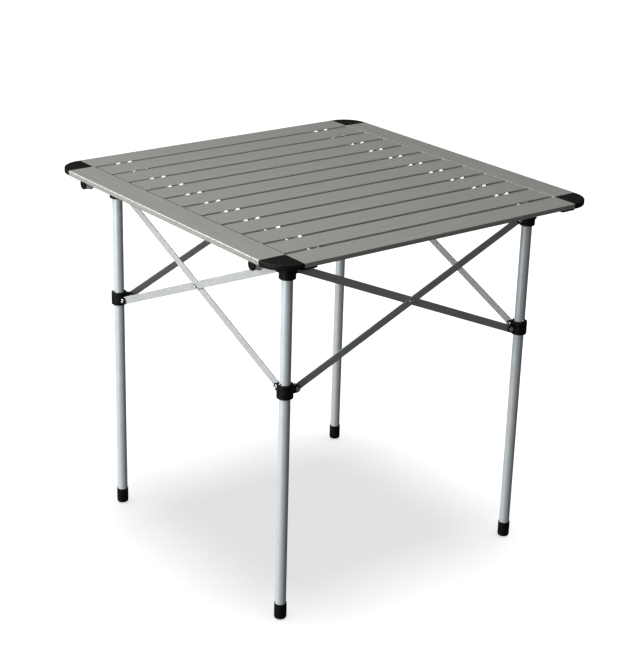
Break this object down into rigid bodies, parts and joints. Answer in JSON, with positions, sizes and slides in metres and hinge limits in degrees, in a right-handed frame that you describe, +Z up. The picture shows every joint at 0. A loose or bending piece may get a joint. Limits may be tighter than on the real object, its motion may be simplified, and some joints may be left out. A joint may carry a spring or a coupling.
{
  "type": "camping table",
  "caption": "Square camping table: a top of aluminium slats between side rails rests on a folding scissor frame with tube legs, crossing braces and sliders.",
  "frame": {"origin": "on the ground under the middle of the table", "axes": "+X along the slats to the right, +Y to the rear, +Z up"},
  "size_m": [0.705, 0.712, 0.693],
  "materials": {
    "slat_aluminium": "satin anodised, grey",
    "rail_aluminium": "satin anodised, grey",
    "tube_aluminium": "satin, silver coated",
    "brace_aluminium": "satin, silver coated",
    "black_plastic": "fine moulded grain",
    "foot_plastic": "matte",
    "steel_fasteners": "bright zinc",
    "elastic_cord": "braided elastic"
  },
  "bodies": {
    "root_leg_front_left": {"foot_front_left": "foot_plastic", "head_front_left": "black_plastic", "leg_front_left": "tube_aluminium"},
    "top": {"bar_cap_front_left": "black_plastic", "bar_cap_front_right": "black_plastic", "bar_cap_rear_left": "black_plastic", "bar_cap_rear_right": "black_plastic", "bar_front": "tube_aluminium", "bar_rear": "tube_aluminium", "bar_screw_front_left": "steel_fasteners", "bar_screw_front_right": "steel_fasteners", "bar_screw_rear_left": "steel_fasteners", "bar_screw_rear_right": "steel_fasteners", "corner_cap_front_left": "black_plastic", "corner_cap_front_right": "black_plastic", "corner_cap_rear_left": "black_plastic", "corner_cap_rear_right": "black_plastic", "elastic_cord_left": "elastic_cord", "elastic_cord_right": "elastic_cord", "rail_left": "rail_aluminium", "rail_right": "rail_aluminium", "slat_01": "slat_aluminium", "slat_02": "slat_aluminium", "slat_03": "slat_aluminium", "slat_04": "slat_aluminium", "slat_05": "slat_aluminium", "slat_06": "slat_aluminium", "slat_07": "slat_aluminium", "slat_08": "slat_aluminium", "slat_09": "slat_aluminium", "slat_10": "slat_aluminium", "slat_11": "slat_aluminium", "slat_12": "slat_aluminium"},
    "brace_body_front_inner": {"brace_front_inner": "brace_aluminium", "cross_rivet_front": "steel_fasteners"},
    "brace_body_front_outer": {"brace_front_outer": "brace_aluminium"},
    "brace_body_left_inner": {"brace_left_inner": "brace_aluminium", "cross_rivet_left": "steel_fasteners"},
    "brace_body_left_outer": {"brace_left_outer": "brace_aluminium"},
    "brace_body_rear_inner": {"brace_rear_inner": "brace_aluminium", "cross_rivet_rear": "steel_fasteners"},
    "brace_body_rear_outer": {"brace_rear_outer": "brace_aluminium"},
    "brace_body_right_inner": {"brace_right_inner": "brace_aluminium", "cross_rivet_right": "steel_fasteners"},
    "brace_body_right_outer": {"brace_right_outer": "brace_aluminium"},
    "leg_body_front_right": {"foot_front_right": "foot_plastic", "head_front_right": "black_plastic", "leg_front_right": "tube_aluminium"},
    "leg_body_rear_left": {"foot_rear_left": "foot_plastic", "head_rear_left": "black_plastic", "leg_rear_left": "tube_aluminium"},
    "leg_body_rear_right": {"foot_rear_right": "foot_plastic", "head_rear_right": "black_plastic", "leg_rear_right": "tube_aluminium"},
    "slider_body_front_left": {"slider_front_left": "black_plastic"},
    "slider_body_front_right": {"slider_front_right": "black_plastic"},
    "slider_body_rear_left": {"slider_rear_left": "black_plastic"},
    "slider_body_rear_right": {"slider_rear_right": "black_plastic"}
  },
  "joints": [
    {"name": "fold", "type": "hinge", "parent": "root_leg_front_left", "child": "brace_body_front_inner", "pos_m": [-0.248, -0.2692, 0.6494], "axis": [0, 1, 0], "range_deg": [0, 63.9]},
    {"name": "front_cross", "type": "hinge", "parent": "brace_body_front_inner", "child": "brace_body_front_outer", "pos_m": [0, -0.2692, 0.5434], "axis": [0, -1, 0], "range_deg": [0, 128.3]},
    {"name": "front_right_leg_pivot", "type": "hinge", "parent": "brace_body_front_outer", "child": "leg_body_front_right", "pos_m": [0.248, -0.2692, 0.6494], "axis": [0, 1, 0], "range_deg": [0, 64.4]},
    {"name": "front_left_slider_pivot", "type": "hinge", "parent": "brace_body_front_outer", "child": "slider_body_front_left", "pos_m": [-0.248, -0.2692, 0.4374], "axis": [0, 1, 0], "range_deg": [0, 64.4]},
    {"name": "front_right_slider_pivot", "type": "hinge", "parent": "brace_body_front_inner", "child": "slider_body_front_right", "pos_m": [0.248, -0.2692, 0.4374], "axis": [0, -1, 0], "range_deg": [0, 64.4]},
    {"name": "left_brace_pivot", "type": "hinge", "parent": "root_leg_front_left", "child": "brace_body_left_outer", "pos_m": [-0.2692, -0.248, 0.6494], "axis": [-1, 0, 0], "range_deg": [0, 64.4]},
    {"name": "left_cross", "type": "hinge", "parent": "brace_body_left_outer", "child": "brace_body_left_inner", "pos_m": [-0.2692, 0, 0.5434], "axis": [1, 0, 0], "range_deg": [0, 128.3]},
    {"name": "rear_left_leg_pivot", "type": "hinge", "parent": "brace_body_left_inner", "child": "leg_body_rear_left", "pos_m": [-0.2692, 0.248, 0.6494], "axis": [-1, 0, 0], "range_deg": [0, 64.4]},
    {"name": "rear_left_slider_pivot", "type": "hinge", "parent": "brace_body_left_outer", "child": "slider_body_rear_left", "pos_m": [-0.2692, 0.248, 0.4374], "axis": [1, 0, 0], "range_deg": [0, 64.4]},
    {"name": "rear_brace_pivot", "type": "hinge", "parent": "leg_body_rear_left", "child": "brace_body_rear_outer", "pos_m": [-0.248, 0.2692, 0.6494], "axis": [0, 1, 0], "range_deg": [0, 64.4]},
    {"name": "rear_cross", "type": "hinge", "parent": "brace_body_rear_outer", "child": "brace_body_rear_inner", "pos_m": [0, 0.2692, 0.5434], "axis": [0, -1, 0], "range_deg": [0, 128.3]},
    {"name": "rear_right_leg_pivot", "type": "hinge", "parent": "brace_body_rear_inner", "child": "leg_body_rear_right", "pos_m": [0.248, 0.2692, 0.6494], "axis": [0, 1, 0], "range_deg": [0, 64.4]},
    {"name": "rear_right_slider_pivot", "type": "hinge", "parent": "brace_body_rear_outer", "child": "slider_body_rear_right", "pos_m": [0.248, 0.2692, 0.4374], "axis": [0, -1, 0], "range_deg": [0, 64.4]},
    {"name": "right_brace_pivot", "type": "hinge", "parent": "leg_body_front_right", "child": "brace_body_right_inner", "pos_m": [0.2692, -0.248, 0.6494], "axis": [-1, 0, 0], "range_deg": [0, 64.4]},
    {"name": "right_cross", "type": "hinge", "parent": "brace_body_right_inner", "child": "brace_body_right_outer", "pos_m": [0.2692, 0, 0.5434], "axis": [1, 0, 0], "range_deg": [0, 128.3]},
    {"name": "top_lift", "type": "slide", "parent": "root_leg_front_left", "child": "top", "axis": [0, 0, 1], "range_m": [0, 0.15]}
  ],
  "couplings": [
    {"joint": "front_cross", "follows": "fold", "ratio": 2},
    {"joint": "front_right_leg_pivot", "follows": "fold", "ratio": 1},
    {"joint": "front_left_slider_pivot", "follows": "fold", "ratio": 1},
    {"joint": "front_right_slider_pivot", "follows": "fold", "ratio": 1},
    {"joint": "left_brace_pivot", "follows": "fold", "ratio": 1},
    {"joint": "left_cross", "follows": "fold", "ratio": 2},
    {"joint": "rear_left_leg_pivot", "follows": "fold", "ratio": 1},
    {"joint": "rear_left_slider_pivot", "follows": "fold", "ratio": 1},
    {"joint": "rear_brace_pivot", "follows": "fold", "ratio": 1},
    {"joint": "rear_cross", "follows": "fold", "ratio": 2},
    {"joint": "rear_right_leg_pivot", "follows": "fold", "ratio": 1},
    {"joint": "rear_right_slider_pivot", "follows": "fold", "ratio": 1},
    {"joint": "right_brace_pivot", "follows": "fold", "ratio": 1},
    {"joint": "right_cross", "follows": "fold", "ratio": 2}
  ]
}
